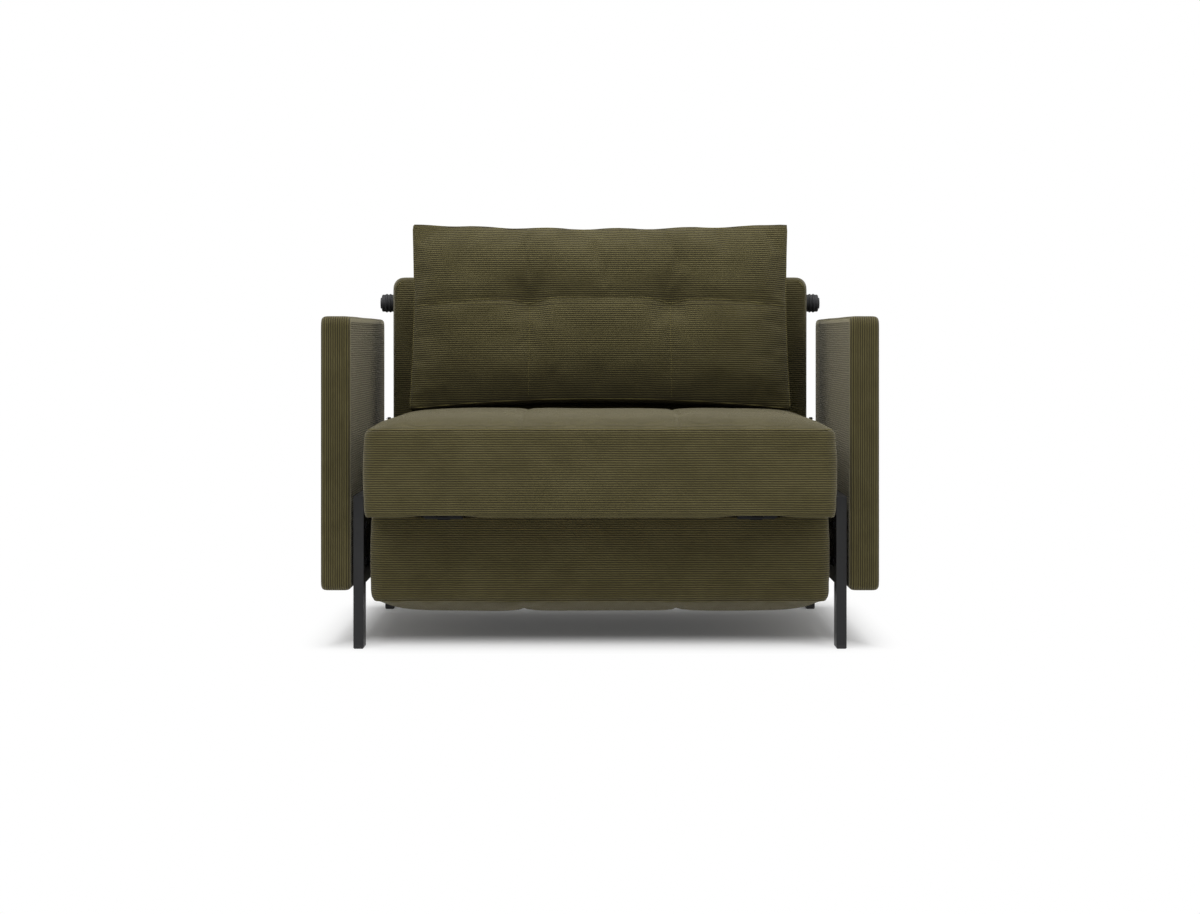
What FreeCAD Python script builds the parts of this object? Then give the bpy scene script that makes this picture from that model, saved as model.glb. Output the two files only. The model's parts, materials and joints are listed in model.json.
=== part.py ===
"""Convertible chair bed, 90 cm wide: a steel base with two upholstered arms, and a mattress in three sections.

The seat section slides forward on the side rails and lifts at its front. The foot section lies folded face
down under it. The back section lies back flat behind it, and its rollers then stand on the side rails.
Lengths are millimetres. Y is measured here from the seat's front, and the export moves it to the middle.
"""

import math
import os

import FreeCAD
import Part

V = FreeCAD.Vector
X_AXIS = V(1, 0, 0)
ORIGIN = V(0, 0, 0)

# Mattress sections
mattress_width = 900.0
seat_length = 640.0
foot_length = 760.0
back_length = 465.0
border_height = 161.3
crown_height = 28.0
crown_reach = 190.0
corner_radius = 34.0
section_base_z = 271.0
tuft_spacing = 300.0
channel_radius = 14.0
channel_depth = 6.0

# Deck under each section
rail_size = 30.0
rail_wall = 1.5
skirt_thickness = 8.0
skirt_gap = 1.0
slat_pitch = 95.0
slat_width = 53.0
slat_thickness = 8.0
cap_length = 24.0
cap_wall = 2.5
fit_gap = 0.3

# Foot section: its hinge lies in the gap between the two decks
foot_setback = 140.0
bed_crease = 10.0
hinge_drop = 6.0
hinge_barrel_radius = 3.8
hinge_pin_radius = 2.0
hinge_knuckle = 24.0
hinge_x = 300.0
leaf_thickness = 3.1
foot_angle = 180.0

# Folding leg of the foot section
foot_leg_inset = 100.0
foot_leg_bar_z = 40.0
foot_cross_gap = 310.0
foot_leg_tube = 20.0
foot_leg_side = 66.0
foot_leg_wall = 1.5
foot_leg_pin_radius = 4.0
foot_leg_swing = 90.0

# Back section and its pivot
back_pivot_behind = 111.0
back_recline = 4.0
nose_radius = 90.0
back_deck_start = 44.0
back_pin_radius = 8.0
back_boss_radius = 16.0
back_arm_width = 56.0
back_arm_shoulder = 22.0
hub_radius = 22.0
hub_thickness = 4.0

# Roller bar through the back section
bar_below_top = 127.0
bar_radius = 8.0
bar_wall = 1.5
roller_radius = 20.5
roller_groove = 1.6
plug_rim = 3.0
roller_gap = 6.0
roller_length = 29.5
bracket_thickness = 4.0
bracket_half = 16.0

# Seat lift pivot
lift_pivot_behind = 9.0
lift_pivot_drop = 4.3
lift_pin_radius = 5.0
lift_boss_radius = 11.0
lift_angle = 60.0
lift_arm_width = 50.0
lift_arm_shoulder = 40.0
flange_width = 40.0

# Side frames of rectangular tube
foot_room = 6.0
rear_room = 14.0
leg_width = 20.0
leg_depth = 50.0
leg_wall = 2.0
side_gap = 13.0
leg_front_y = 160.0
rail_top_z = 299.0
top_rail_height = 40.0
low_rail_z = 126.0
low_rail_height = 30.0
glide_height = 8.0
cross_tube_depth = 25.0
cross_tube_gap = 3.0
upper_cross_z = 186.0

# Slides and carriage
slide_travel = 220.0
slide_web = 1.5
slide_height = 36.0
slide_gap = 2.0
slide_end_gap = 4.0
carriage_ahead = 319.0
carriage_foot = 60.0
plate_thickness = 3.0
plate_gap = 4.0
arm_plate_gap = 0.5
carriage_tube = 20.0
carriage_tube_height = 30.0
carriage_tube_z = 225.0

# Arms
arm_gap = 4.0
arm_thickness = 60.0
arm_overhang = 13.0
arm_rear_gap = 4.0
arm_flat_inset = 90.0
arm_bottom_z = 115.0
arm_top_z = 651.0
arm_corner_radius = 20.0
arm_edge_draw = 9.0
board_thickness = 18.0
board_inset = 12.0
board_skin = 2.0
bolt_radius = 4.0
bolt_head_radius = 6.5
bolt_head_height = 3.5
bolt_low_z = 171.0
bolt_high_z = 240.0
bolt_bite = 14.0
bolt_inset = 35.0
spacer_radius = 9.0
pin_clearance = 0.08

# Loose back cushion
cushion_width = 800.0
cushion_height = 402.0
cushion_border = 70.0
cushion_crown = 46.0
cushion_crown_reach = 150.0
cushion_side_draw = 5.0
cushion_top_draw = 10.0
cushion_bottom_draw = 22.0
cushion_ahead = 194.0
cushion_rise = 22.0
cushion_lean = 8.0
cushion_seam_height = 217.0
cushion_lift = 700.0

# Places worked out from the sizes above
half_width = mattress_width / 2
foot_leg_half_width = half_width - foot_leg_side
arm_plate_x = half_width + arm_plate_gap
plate_x = half_width + plate_gap
roller_inner_x = half_width + roller_gap
roller_outer_x = roller_inner_x + roller_length
side_inner_x = half_width + side_gap
lift_pivot_y = seat_length + lift_pivot_behind
back_pivot_y = seat_length + back_pivot_behind
carriage_front_y = lift_pivot_y - carriage_ahead
carriage_tube_y = foot_setback + foot_length + foot_room
base_depth = carriage_tube_y + carriage_tube + rear_room
arm_front_y = leg_front_y - arm_overhang
arm_rear_y = base_depth - arm_rear_gap
slide_front_y = leg_front_y + leg_depth + slide_gap
deck_top_z = section_base_z + rail_size
mattress_base_z = deck_top_z + fit_gap
mattress_top_z = section_base_z + border_height
mattress_height = mattress_top_z - mattress_base_z
lift_pivot_z = mattress_top_z - lift_pivot_drop
hinge_y = (foot_setback - bed_crease) / 2
hinge_z = section_base_z - hinge_drop
back_pivot_z = section_base_z + border_height / 2
back_near_y = back_pivot_y - border_height / 2
back_angle = 90.0 - back_recline
bar_up = back_length - bar_below_top
bar_y = back_pivot_y + bar_up
bar_z = rail_top_z + roller_radius + fit_gap
cushion_foot_y = back_pivot_y - cushion_ahead
cushion_rest_z = mattress_top_z + cushion_rise
side_outer_x = side_inner_x + leg_width
arm_inner_x = side_outer_x + arm_gap
leg_rear_y = base_depth - leg_depth
middle_y = base_depth / 2


def box(x0, x1, y0, y1, z0, z1):
    """A box between two corners."""
    return Part.makeBox(x1 - x0, y1 - y0, z1 - z0, V(x0, y0, z0))


def rod(radius, x0, x1, y, z):
    """A round bar along X."""
    return Part.makeCylinder(radius, x1 - x0, V(x0, y, z), X_AXIS)


def hollow_box(x0, x1, y0, y1, z0, z1, wall, along):
    """A rectangular tube along one axis, open at both ends."""
    x_in, y_in, z_in = (0.0 if along == axis else wall for axis in "xyz")
    bore = box(x0 + x_in, x1 - x_in, y0 + y_in, y1 - y_in, z0 + z_in, z1 - z_in)
    return box(x0, x1, y0, y1, z0, z1).cut(bore)


def turned(shape, y, z, angle):
    """The shape turned about the X direction through (y, z). A positive angle raises what lies behind."""
    copy = shape.copy()
    copy.rotate(V(0, y, z), X_AXIS, angle)
    return copy


def mirrored(shape):
    """The right-hand copy of a left-hand shape, or the other way round."""
    return shape.mirror(ORIGIN, X_AXIS)


def pair(shape):
    """A shape and its mirror image across the middle."""
    return [shape, mirrored(shape)]


def rounded_outline(half_x, y0, y1, radius, z):
    """A closed rectangle of lines and corner arcs at one height."""
    r = min(radius, half_x / 2, (y1 - y0) / 4)
    d = r * (1 - math.sqrt(0.5))
    x = half_x
    edges = [
        Part.LineSegment(V(-x + r, y0, z), V(x - r, y0, z)),
        Part.Arc(V(x - r, y0, z), V(x - d, y0 + d, z), V(x, y0 + r, z)),
        Part.LineSegment(V(x, y0 + r, z), V(x, y1 - r, z)),
        Part.Arc(V(x, y1 - r, z), V(x - d, y1 - d, z), V(x - r, y1, z)),
        Part.LineSegment(V(x - r, y1, z), V(-x + r, y1, z)),
        Part.Arc(V(-x + r, y1, z), V(-x + d, y1 - d, z), V(-x, y1 - r, z)),
        Part.LineSegment(V(-x, y1 - r, z), V(-x, y0 + r, z)),
        Part.Arc(V(-x, y0 + r, z), V(-x + d, y0 + d, z), V(-x + r, y0, z)),
    ]
    return Part.Wire([e.toShape() for e in edges])


def mattress(y0, length):
    """One mattress section lying flat: a drawn-in border, a crowned top and two sewn channels along it."""
    border = [(0.0, 3.0), (0.35, 1.8), (0.7, 2.4), (1.0, 6.0)]
    crown = [(0.42, 0.13), (0.74, 0.35), (0.94, 0.69), (1.0, 1.0)]
    rings = [(mattress_base_z + share * mattress_height, inset) for share, inset in border]
    rings += [(mattress_top_z + share * crown_height, reach * crown_reach) for share, reach in crown]
    wires = [
        rounded_outline(half_width - inset, y0 + inset, y0 + length - inset, corner_radius, z)
        for z, inset in rings
    ]
    body = Part.makeLoft(wires[:4], True, False).fuse(Part.makeLoft(wires[3:], True, False))
    groove_z = mattress_top_z + crown_height + channel_radius - channel_depth
    for side in (-1, 1):
        at = V(side * tuft_spacing / 2, y0, groove_z)
        body = body.cut(Part.makeCylinder(channel_radius, length, at, V(0, 1, 0)))
    return body


def deck_rails(y0, length, cross_y=None):
    """The steel tubes of one deck, butted at the corners, and a cross tube where one is wanted."""
    inset = skirt_thickness + skirt_gap
    x = half_width - inset
    low, high = y0 + inset, y0 + length - inset
    z0, z1 = section_base_z, deck_top_z
    rails = [
        hollow_box(-x, x, low, low + rail_size, z0, z1, rail_wall, "x"),
        hollow_box(-x, x, high - rail_size, high, z0, z1, rail_wall, "x"),
    ]
    rails += pair(hollow_box(x - rail_size, x, low + rail_size, high - rail_size, z0, z1, rail_wall, "y"))
    if cross_y is not None:
        rails.append(hollow_box(-x + rail_size, x - rail_size, cross_y, cross_y + rail_size, z0,
                                z1 - slat_thickness - cap_wall - fit_gap, rail_wall, "x"))
    return Part.Compound(rails)


def deck_skirt(y0, length):
    """The upholstered strips that hide the rails on all four sides."""
    x = half_width - skirt_gap
    t = skirt_thickness - fit_gap
    low, high = y0 + skirt_gap, y0 + length - skirt_gap
    z0, z1 = section_base_z + fit_gap, deck_top_z
    strips = [box(-x, x, low, low + t, z0, z1), box(-x, x, high - t, high, z0, z1)]
    strips += pair(box(x - t, x, low + t, high - t, z0, z1))
    return Part.Compound(strips)


def slat_places(y0, length):
    """The middle of each slat along a section."""
    inset = skirt_thickness + skirt_gap + rail_size
    free = length - 2 * inset
    count = round(free / slat_pitch)
    return [y0 + inset + free * (i + 0.5) / count for i in range(count)]


def slats_and_caps(y0, length):
    """Beech slats across a deck, and the plastic cap that holds each end to the rail."""
    rail_face = half_width - skirt_thickness - skirt_gap - rail_size
    z1 = deck_top_z
    z0 = z1 - slat_thickness
    reach = rail_face - cap_wall - fit_gap
    slats, caps = [], []
    for y in slat_places(y0, length):
        slats.append(box(-reach, reach, y - slat_width / 2, y + slat_width / 2, z0, z1))
        half = slat_width / 2 + fit_gap + cap_wall
        cap = box(rail_face - cap_length, rail_face, y - half, y + half, z0 - cap_wall, z1)
        pocket = box(0, rail_face - cap_wall, y - half + cap_wall, y + half - cap_wall, z0 - fit_gap, z1)
        caps += pair(cap.cut(pocket))
    return Part.Compound(slats), Part.Compound(caps)


def foot_to_rest(shape):
    """Folds a piece of the foot section from the flat bed to its place under the seat."""
    return turned(shape, hinge_y, hinge_z, foot_angle)


def back_to_rest(shape):
    """Raises a piece of the back section from the flat bed to its upright place."""
    return turned(shape, back_pivot_y, back_pivot_z, back_angle)


def hinge_side(x0, rail_y0, rail_y1, barrel_on_own_leaf):
    """One knuckle and its leaf, which runs flat under a rail."""
    x1 = x0 + hinge_knuckle
    z0 = hinge_z + hinge_barrel_radius - 1.3
    top = section_base_z if barrel_on_own_leaf else z0 + leaf_thickness
    leaf = box(x0, x1, rail_y0, hinge_y, z0, top)
    if not barrel_on_own_leaf:
        leaf = leaf.fuse(box(x0, x1, rail_y0, rail_y1, z0, section_base_z))
    knuckle = rod(hinge_barrel_radius, x0, x1, hinge_y, hinge_z)
    bore = rod(hinge_pin_radius + pin_clearance, x0, x1, hinge_y, hinge_z)
    return leaf.fuse(knuckle).cut(bore)


def foot_hinges():
    """The seat's knuckles, the foot section's knuckles and the pins."""
    inset = skirt_thickness + skirt_gap
    seat_side, foot_side, pins = [], [], []
    foot_rail_y = -bed_crease - inset
    for centre in (-hinge_x, hinge_x):
        first = centre - hinge_knuckle * 1.5 - fit_gap
        second = first + hinge_knuckle + fit_gap
        third = second + hinge_knuckle + fit_gap
        for x0 in (first, third):
            seat_side.append(hinge_side(x0, inset + fit_gap, inset + rail_size, True))
        foot_side.append(foot_to_rest(hinge_side(second, foot_rail_y - rail_size, foot_rail_y, False)))
        pins.append(rod(hinge_pin_radius, first, third + hinge_knuckle, hinge_y, hinge_z))
    return Part.Compound(seat_side), Part.Compound(foot_side), Part.Compound(pins)


def foot_leg_places():
    """The folding leg's pivot on the flat bed: its Y and Z."""
    y = -bed_crease - foot_length + foot_leg_inset
    return y, section_base_z + foot_leg_tube / 2 + fit_gap


def foot_leg_to_rest(shape):
    """Swings a piece of the upright leg into the deck, then folds it with the foot section."""
    y, z = foot_leg_places()
    return foot_to_rest(turned(shape, y, z, foot_leg_swing))


def foot_leg():
    """The U-shaped leg standing under the flat foot section, its glides and its pivot pins."""
    y, z = foot_leg_places()
    t = foot_leg_tube
    x = foot_leg_half_width
    leg = hollow_box(x - t, x, y - t / 2, y + t / 2, glide_height, z, foot_leg_wall, "z")
    eye = rod(t / 2, x - t, x, y, z)
    bore = rod(foot_leg_pin_radius + pin_clearance, x - t, x, y, z)
    bar_z = foot_leg_bar_z
    bar = hollow_box(-x + t, x - t, y - t / 2, y + t / 2, bar_z, bar_z + t, foot_leg_wall, "x")
    tubes = Part.Compound(pair(leg.fuse(eye).cut(bore)) + [bar])
    glide = box(x - t, x, y - t / 2, y + t / 2, 0.0, glide_height)
    glide = glide.makeChamfer(2.0, [e for e in glide.Edges if abs(e.CenterOfMass.z) < 1e-6])
    rail_face = half_width - skirt_thickness - skirt_gap - rail_size
    pin = rod(foot_leg_pin_radius, x - t, rail_face, y, z)
    collar = rod(foot_leg_pin_radius * 1.9, x + fit_gap, rail_face, y, z)
    return (
        foot_leg_to_rest(tubes),
        foot_leg_to_rest(Part.Compound(pair(glide))),
        foot_to_rest(Part.Compound(pair(pin.fuse(collar)))),
    )


def lift_arms():
    """The angle bracket under each side of the seat deck, with the bore that the seat lifts on."""
    t = plate_thickness
    x0 = arm_plate_x
    y1 = lift_pivot_y - 1.4 * lift_boss_radius
    y0 = y1 - lift_arm_width
    low = section_base_z - leaf_thickness
    web = Part.Face(Part.makePolygon([
        V(x0, y0, low),
        V(x0, y1, low),
        V(x0, y1 + lift_boss_radius / 2, lift_pivot_z - lift_boss_radius * 1.6),
        V(x0, lift_pivot_y, lift_pivot_z),
        V(x0, y1, lift_pivot_z),
        V(x0, y0, low + lift_arm_shoulder),
        V(x0, y0, low),
    ])).extrude(V(t, 0, 0))
    plate = web.fuse(rod(lift_boss_radius, x0, x0 + t, lift_pivot_y, lift_pivot_z))
    flange = box(half_width - flange_width, x0 + t, y0, y1, low, section_base_z)
    bore = rod(lift_pin_radius + pin_clearance, x0, x0 + t, lift_pivot_y, lift_pivot_z)
    return Part.Compound(pair(plate.fuse(flange).cut(bore)))


def back_arms():
    """The angle bracket under each side of the back deck, with the bore that the back reclines on."""
    t = plate_thickness
    x0 = arm_plate_x
    y0 = back_pivot_y - back_boss_radius / 2
    y1 = y0 + back_arm_width
    low = section_base_z - leaf_thickness
    web = Part.Face(Part.makePolygon([
        V(x0, y0, low),
        V(x0, y1, low),
        V(x0, y1, low + back_arm_shoulder),
        V(x0, back_pivot_y + back_boss_radius, back_pivot_z),
        V(x0, back_pivot_y - back_boss_radius, back_pivot_z),
        V(x0, y0, low),
    ])).extrude(V(t, 0, 0))
    plate = web.fuse(rod(back_boss_radius, x0, x0 + t, back_pivot_y, back_pivot_z))
    flange = box(half_width - flange_width, x0 + t, y0, y1, low, section_base_z)
    bore = rod(back_pin_radius + pin_clearance, x0, x0 + t, back_pivot_y, back_pivot_z)
    return back_to_rest(Part.Compound(pair(plate.fuse(flange).cut(bore))))


def carriage_plate():
    """The right carriage plate, which carries the seat's pivot and the back's pivot on the slide."""
    x0, x1 = plate_x, plate_x + plate_thickness
    z_mid = rail_top_z - top_rail_height / 2
    half = slide_height / 2 - 1.0
    strip = box(x0, x1, carriage_front_y, carriage_tube_y + carriage_tube, z_mid - half, z_mid + half)
    web = Part.Face(Part.makePolygon([
        V(x0, lift_pivot_y - carriage_foot, z_mid),
        V(x0, lift_pivot_y - lift_boss_radius, lift_pivot_z),
        V(x0, lift_pivot_y + lift_boss_radius, lift_pivot_z),
        V(x0, back_pivot_y, back_pivot_z + hub_radius),
        V(x0, back_pivot_y + hub_radius, back_pivot_z),
        V(x0, back_pivot_y + carriage_foot, z_mid),
        V(x0, lift_pivot_y - carriage_foot, z_mid),
    ])).extrude(V(x1 - x0, 0, 0))
    tail = box(x0, x1, carriage_tube_y, carriage_tube_y + carriage_tube,
               carriage_tube_z, z_mid)
    plate = strip.fuse([web, tail,
                        rod(lift_boss_radius, x0, x1, lift_pivot_y, lift_pivot_z),
                        rod(hub_radius, x0, x1, back_pivot_y, back_pivot_z)])
    plate = plate.cut(rod(lift_pin_radius + pin_clearance, x0, x1, lift_pivot_y, lift_pivot_z))
    plate = plate.cut(rod(back_pin_radius + pin_clearance, x0, x1, back_pivot_y, back_pivot_z))
    return plate.removeSplitter()


def pivot_pins():
    """The seat's lift pins, and the back's pivot pins with the round ratchet housing outside each plate."""
    outer = plate_x + plate_thickness
    lift = rod(lift_pin_radius, arm_plate_x, outer, lift_pivot_y, lift_pivot_z)
    lift = lift.fuse(rod(lift_pin_radius * 1.7, outer + fit_gap, outer + 3.0, lift_pivot_y, lift_pivot_z))
    lift = lift.fuse(rod(lift_pin_radius, outer, outer + 3.0, lift_pivot_y, lift_pivot_z))
    pin = rod(back_pin_radius, arm_plate_x, outer + hub_thickness + 1.5, back_pivot_y, back_pivot_z)
    hub = rod(hub_radius, outer, outer + hub_thickness, back_pivot_y, back_pivot_z)
    hub = hub.cut(rod(back_pin_radius + pin_clearance, outer, outer + hub_thickness, back_pivot_y, back_pivot_z))
    return Part.Compound(pair(lift)), Part.Compound(pair(pin)), Part.Compound(pair(hub))


def slide_inner():
    """The moving member of the right slide, bolted to the carriage plate."""
    z_mid = rail_top_z - top_rail_height / 2
    half = slide_height / 2 - slide_web - fit_gap
    x0 = plate_x + plate_thickness
    x1 = side_inner_x - slide_web - fit_gap
    return box(x0, x1, carriage_front_y, carriage_tube_y + carriage_tube, z_mid - half, z_mid + half)


def slide_outer():
    """The fixed channel of the right slide, on the inside of the side rail."""
    z_mid = rail_top_z - top_rail_height / 2
    half = slide_height / 2
    x0 = plate_x + plate_thickness + fit_gap
    channel = box(x0, side_inner_x, slide_front_y, base_depth - slide_end_gap, z_mid - half, z_mid + half)
    inside = box(x0, side_inner_x - slide_web, slide_front_y, base_depth - slide_end_gap,
                 z_mid - half + slide_web, z_mid + half - slide_web)
    return channel.cut(inside)


def bolt_places():
    """The Y of the arm bolts in the front leg and in the rear leg."""
    return leg_front_y + bolt_inset, base_depth - bolt_inset


def side_frame():
    """The right side frame: two legs, a top rail and a low rail, each a rectangular tube."""
    x0, x1 = side_inner_x, side_outer_x
    legs = []
    for y, bolt_y in zip((leg_front_y, leg_rear_y), bolt_places()):
        leg = hollow_box(x0, x1, y, y + leg_depth, glide_height, rail_top_z, leg_wall, "z")
        lid = box(x0, x1, y, y + leg_depth, rail_top_z - leg_wall, rail_top_z)
        leg = leg.fuse(lid)
        for z in (bolt_low_z, bolt_high_z):
            leg = leg.cut(rod(bolt_radius + fit_gap, x0, x1, bolt_y, z))
        legs.append(leg)
    y0, y1 = leg_front_y + leg_depth, leg_rear_y
    top = hollow_box(x0, x1, y0, y1, rail_top_z - top_rail_height, rail_top_z, leg_wall, "y")
    low = hollow_box(x0, x1, y0, y1, low_rail_z, low_rail_z + low_rail_height, leg_wall, "y")
    return Part.Compound(legs + [top, low])


def glides():
    """The plastic glide under each leg."""
    shapes = []
    for y in (leg_front_y, leg_rear_y):
        glide = box(side_inner_x, side_outer_x, y, y + leg_depth, 0.0, glide_height)
        glide = glide.makeChamfer(2.0, [e for e in glide.Edges if abs(e.CenterOfMass.z) < 1e-6])
        shapes += pair(glide)
    return Part.Compound(shapes)


def rear_cross_tubes():
    """The two tubes that join the side frames behind the folded foot section."""
    y1 = base_depth - cross_tube_gap
    y0 = y1 - cross_tube_depth
    x = side_inner_x
    return Part.Compound([
        hollow_box(-x, x, y0, y1, z, z + low_rail_height, leg_wall, "x")
        for z in (low_rail_z, upper_cross_z)
    ])


def arm_block():
    """The arm's soft outer form: edges drawn in all round and a low crown on the outer side."""
    half = (arm_top_z - arm_bottom_z) / 2
    profile = [(0.0, 1.0), (0.12, 0.25), (0.3, 0.0), (0.66, 0.0), (0.84, 0.3), (0.95, 1.3)]
    rings = [(share * arm_thickness, draw * arm_edge_draw) for share, draw in profile]
    wires = [
        rounded_outline(half - inset, arm_front_y + inset, arm_rear_y - inset, arm_corner_radius, w)
        for w, inset in rings
    ]
    flat = arm_flat_inset
    top = rounded_outline(half - flat, arm_front_y + flat, arm_rear_y - flat, arm_corner_radius, arm_thickness)
    block = Part.makeLoft(wires, True, False).fuse(Part.makeLoft([wires[-1], top], True, False))
    block.rotate(ORIGIN, V(0, 1, 0), 90)
    block.translate(V(arm_inner_x, 0, arm_bottom_z + half))
    return block


def arm():
    """The right arm: an upholstered pad round a plywood board, its bolts and the spacers behind it."""
    x0 = arm_inner_x
    pad = arm_block()
    board_x = x0 + board_skin
    board = box(board_x, board_x + board_thickness, arm_front_y + board_inset, arm_rear_y - board_inset,
                arm_bottom_z + board_inset, arm_top_z - board_inset)
    room = box(board_x - fit_gap, board_x + board_thickness + fit_gap,
               arm_front_y + board_inset - fit_gap, arm_rear_y - board_inset + fit_gap,
               arm_bottom_z + board_inset - fit_gap, arm_top_z - board_inset + fit_gap)
    pad = pad.cut(room)
    bolts, spacers = [], []
    for y in bolt_places():
        for z in (bolt_low_z, bolt_high_z):
            shank = rod(bolt_radius, side_inner_x, board_x + bolt_bite, y, z)
            head = rod(bolt_head_radius, side_inner_x - bolt_head_height, side_inner_x, y, z)
            bolts.append(shank.fuse(head))
            room = rod(bolt_radius + fit_gap, x0, board_x + bolt_bite + fit_gap, y, z)
            board = board.cut(room)
            pad = pad.cut(rod(bolt_radius + fit_gap, x0, board_x, y, z))
            ring = rod(spacer_radius, side_outer_x, x0, y, z)
            spacers.append(ring.cut(rod(bolt_radius + fit_gap, side_outer_x, x0, y, z)))
    return pad, board, Part.Compound(bolts), Part.Compound(spacers)


def back_deck():
    """The back's deck starts short of its lower end, to clear the folded foot section as it turns."""
    return back_near_y + back_deck_start, back_length - back_deck_start


def back_mattress():
    """The back section's mattress, its lower end rounded about the pivot, with a passage for the roller bar."""
    body = mattress(back_near_y, back_length)
    nose = rod(nose_radius, -half_width, half_width, back_pivot_y, back_pivot_z)
    rest = box(-half_width, half_width, back_pivot_y, back_near_y + back_length + 5.0,
               section_base_z - 5.0, mattress_top_z + crown_height + 5.0)
    body = body.common(nose.fuse(rest))
    room = bar_radius + 2.0
    body = body.cut(box(-half_width, half_width, bar_y - room, bar_y + room, deck_top_z, bar_z + room))
    inner_x = half_width - skirt_thickness - skirt_gap - rail_size
    room = bracket_half + 2.0
    pocket = box(inner_x - 2.0, inner_x + bracket_thickness + 2.0, bar_y - room, bar_y + room,
                 deck_top_z, bar_z + room)
    for side in pair(pocket):
        body = body.cut(side)
    return back_to_rest(body)


def roller_bar():
    """The tube across the back section, and the two brackets that hold it over the side rails of the deck."""
    inner_x = half_width - skirt_thickness - skirt_gap - rail_size
    end = roller_outer_x - plug_rim
    bar = rod(bar_radius, -end, end, bar_y, bar_z)
    bar = bar.cut(rod(bar_radius - bar_wall, -roller_outer_x, roller_outer_x, bar_y, bar_z))
    outer_x = inner_x + bracket_thickness
    half = bracket_half
    plate = box(inner_x, outer_x, bar_y - half, bar_y + half, deck_top_z, bar_z)
    plate = plate.fuse(rod(half, inner_x, outer_x, bar_y, bar_z))
    above = box(inner_x, outer_x, bar_y - half, bar_y + half, deck_top_z, bar_z + half)
    plate = plate.common(above).cut(rod(bar_radius + pin_clearance, inner_x, outer_x, bar_y, bar_z))
    return back_to_rest(bar), back_to_rest(Part.Compound(pair(plate)))


def roller():
    """The right roller: a plastic sleeve with a rounded rim and two raised ribs."""
    x0, x1 = roller_inner_x, roller_outer_x - plug_rim
    r, g = roller_radius, roller_groove
    ribs = (x0 + 8.0, x0 + 16.0)
    profile = [
        V(x0, 0, bar_radius + pin_clearance),
        V(x0, 0, r - g),
        V(ribs[0] - 3.0, 0, r - g),
        V(ribs[0] - 1.0, 0, r),
        V(ribs[0] + 1.0, 0, r),
        V(ribs[0] + 3.0, 0, r - g),
        V(ribs[1] - 3.0, 0, r - g),
        V(ribs[1] - 1.0, 0, r),
        V(ribs[1] + 1.0, 0, r),
        V(ribs[1] + 3.0, 0, r - g),
        V(x1 - 1.5, 0, r - g),
        V(x1, 0, r - g - 2.0),
        V(x1, 0, bar_radius + pin_clearance),
        V(x0, 0, bar_radius + pin_clearance),
    ]
    sleeve = Part.Face(Part.makePolygon(profile)).revolve(ORIGIN, X_AXIS, 360.0)
    sleeve.translate(V(0, bar_y, bar_z))
    return back_to_rest(sleeve)


def bar_plugs():
    """The plug in each end of the bar, whose rim keeps the roller on."""
    stem_radius = bar_radius - bar_wall - fit_gap
    end = roller_outer_x - plug_rim
    stem = rod(stem_radius, end - 20.0, roller_outer_x, bar_y, bar_z)
    rim = rod(bar_radius + 4.0, end + fit_gap, roller_outer_x, bar_y, bar_z)
    return back_to_rest(Part.Compound(pair(stem.fuse(rim))))


def cushion_outline(inset, depth):
    """One outline of the loose cushion: four arcs that draw in between the corners."""
    x = cushion_width / 2 - inset
    low, high = inset, cushion_height - inset
    side = cushion_side_draw
    corners = [V(-x, depth, low), V(x, depth, low), V(x, depth, high), V(-x, depth, high)]
    middles = [
        V(0, depth, low + cushion_bottom_draw),
        V(x - side, depth, cushion_height / 2),
        V(0, depth, high - cushion_top_draw),
        V(-x + side, depth, cushion_height / 2),
    ]
    edges = []
    for i in range(4):
        edges.append(Part.Arc(corners[i], middles[i], corners[(i + 1) % 4]).toShape())
    return Part.Wire(edges)


def loose_cushion():
    """The loose cushion: a drawn-in border between two crowned faces, each with its sewn channels."""
    half = cushion_border / 2
    crown = [(0.0, 0.0), (0.45, 0.17), (0.78, 0.41), (0.95, 0.73), (1.0, 1.0)]
    rings = [(half + share * cushion_crown, reach * cushion_crown_reach) for share, reach in crown]
    front = [cushion_outline(inset, -depth) for depth, inset in rings]
    rear = [cushion_outline(inset, depth) for depth, inset in rings]
    body = Part.makeLoft([front[0], rear[0]], True, True)
    body = body.fuse([Part.makeLoft(front, True, False), Part.makeLoft(rear, True, False)])
    face = half + cushion_crown + channel_radius - channel_depth
    for x in (-tuft_spacing / 2, tuft_spacing / 2):
        body = body.cut(Part.makeCylinder(channel_radius, cushion_seam_height, V(x, -face, 0), V(0, 0, 1)))
    seam = V(-cushion_width / 2, -face, cushion_seam_height)
    body = body.cut(Part.makeCylinder(channel_radius, cushion_width, seam, X_AXIS))
    body.rotate(ORIGIN, X_AXIS, -cushion_lean)
    body.translate(V(0, cushion_foot_y, cushion_rest_z))
    return body


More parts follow.
